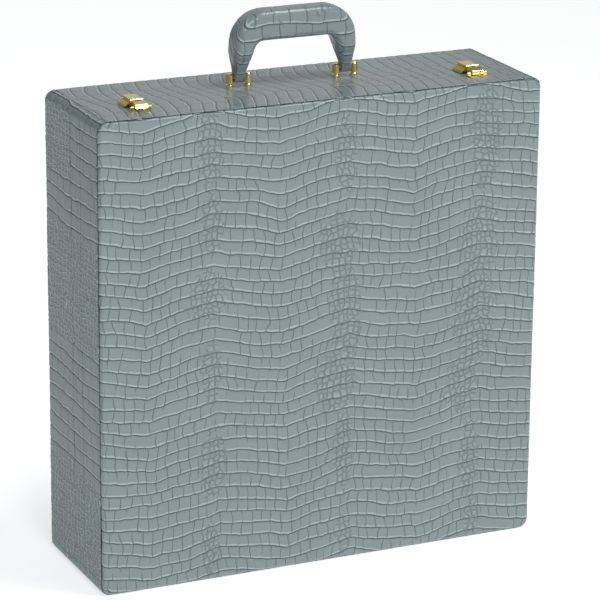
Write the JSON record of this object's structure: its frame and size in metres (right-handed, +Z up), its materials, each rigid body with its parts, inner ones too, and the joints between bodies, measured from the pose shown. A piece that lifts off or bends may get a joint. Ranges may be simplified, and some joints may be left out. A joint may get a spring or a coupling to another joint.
{
  "type": "chess piece storage case",
  "caption": "Attache-style storage case for chess pieces in embossed leatherette, with gilt snap latches, a padded handle and stacked wooden trays inside.",
  "frame": {"origin": "middle of the bottom face, halfway between the front and the back", "axes": "+X is to the right seen from the front, +Y is to the back, +Z is up, towards the handle"},
  "size_m": [0.425, 0.13, 0.498],
  "materials": {
    "leatherette": "glossy, crocodile embossed",
    "boards": "sanded plywood",
    "tray_wood": "satin varnish",
    "velvet": "short pile",
    "ribbon": "woven satin",
    "gilt_brass": "polished",
    "hinge_brass": "brushed",
    "steel": "plated"
  },
  "bodies": {
    "base": {"base_back_board": "boards", "base_top_board": "boards", "base_bottom_board": "boards", "base_left_board": "boards", "base_right_board": "boards", "base_back_cover": "leatherette", "base_top_cover": "leatherette", "base_bottom_cover": "leatherette", "base_left_front_cover": "leatherette", "base_left_rear_cover": "leatherette", "base_right_front_cover": "leatherette", "base_right_rear_cover": "leatherette", "base_lining": "velvet", "base_floor_lining": "velvet", "lower_tray_floor": "tray_wood", "lower_tray_walls": "tray_wood", "lower_tray_long_dividers": "tray_wood", "lower_tray_short_dividers": "tray_wood", "upper_tray_floor": "tray_wood", "upper_tray_walls": "tray_wood", "upper_tray_long_dividers": "tray_wood", "upper_tray_short_dividers": "tray_wood", "upper_tray_ribbons": "ribbon", "hinge_base_leaves": "hinge_brass", "hinge_base_screws": "hinge_brass", "hinge_pins": "hinge_brass", "handle_posts": "gilt_brass", "handle_pins": "steel", "handle_backing_plates": "steel", "handle_nuts": "steel", "latch_left_bed": "gilt_brass", "latch_right_bed": "gilt_brass", "hasp_pins": "steel", "latch_springs": "steel", "bed_rivets": "gilt_brass"},
    "lid": {"lid_face_board": "boards", "lid_top_board": "boards", "lid_bottom_board": "boards", "lid_left_board": "boards", "lid_right_board": "boards", "lid_face_cover": "leatherette", "lid_top_cover": "leatherette", "lid_bottom_cover": "leatherette", "lid_left_cover": "leatherette", "lid_right_cover": "leatherette", "lid_lining": "velvet", "lid_pad": "velvet", "hinge_lid_leaves": "hinge_brass", "hinge_lid_screws": "hinge_brass", "latch_left_strike": "gilt_brass", "latch_right_strike": "gilt_brass", "strike_rivets": "gilt_brass"},
    "handle": {"handle_grip": "leatherette", "handle_bushes": "steel"},
    "left_hasp": {"latch_left_hasp": "gilt_brass"},
    "right_hasp": {"latch_right_hasp": "gilt_brass"},
    "left_button": {"latch_left_button": "gilt_brass"},
    "right_button": {"latch_right_button": "gilt_brass"}
  },
  "joints": [
    {"name": "lid_hinge", "type": "hinge", "parent": "base", "child": "lid", "pos_m": [0, -0.0225, 0.0029], "axis": [1, 0, 0], "range_deg": [0, 95]},
    {"name": "handle_pivot", "type": "hinge", "parent": "base", "child": "handle", "pos_m": [0, 0.0075, 0.4384], "axis": [1, 0, 0], "range_deg": [-80, 80]},
    {"name": "left_hasp_pivot", "type": "hinge", "parent": "base", "child": "left_hasp", "pos_m": [-0.1615, -0.0302, 0.43395], "axis": [-1, 0, 0], "range_deg": [0, 80]},
    {"name": "right_hasp_pivot", "type": "hinge", "parent": "base", "child": "right_hasp", "pos_m": [0.1615, -0.0302, 0.43395], "axis": [-1, 0, 0], "range_deg": [0, 80]},
    {"name": "left_button_slide", "type": "slide", "parent": "base", "child": "left_button", "axis": [-1, 0, 0], "range_m": [0, 0.0035], "stiffness_N_per_m": 200},
    {"name": "right_button_slide", "type": "slide", "parent": "base", "child": "right_button", "axis": [1, 0, 0], "range_m": [0, 0.0035], "stiffness_N_per_m": 200}
  ]
}
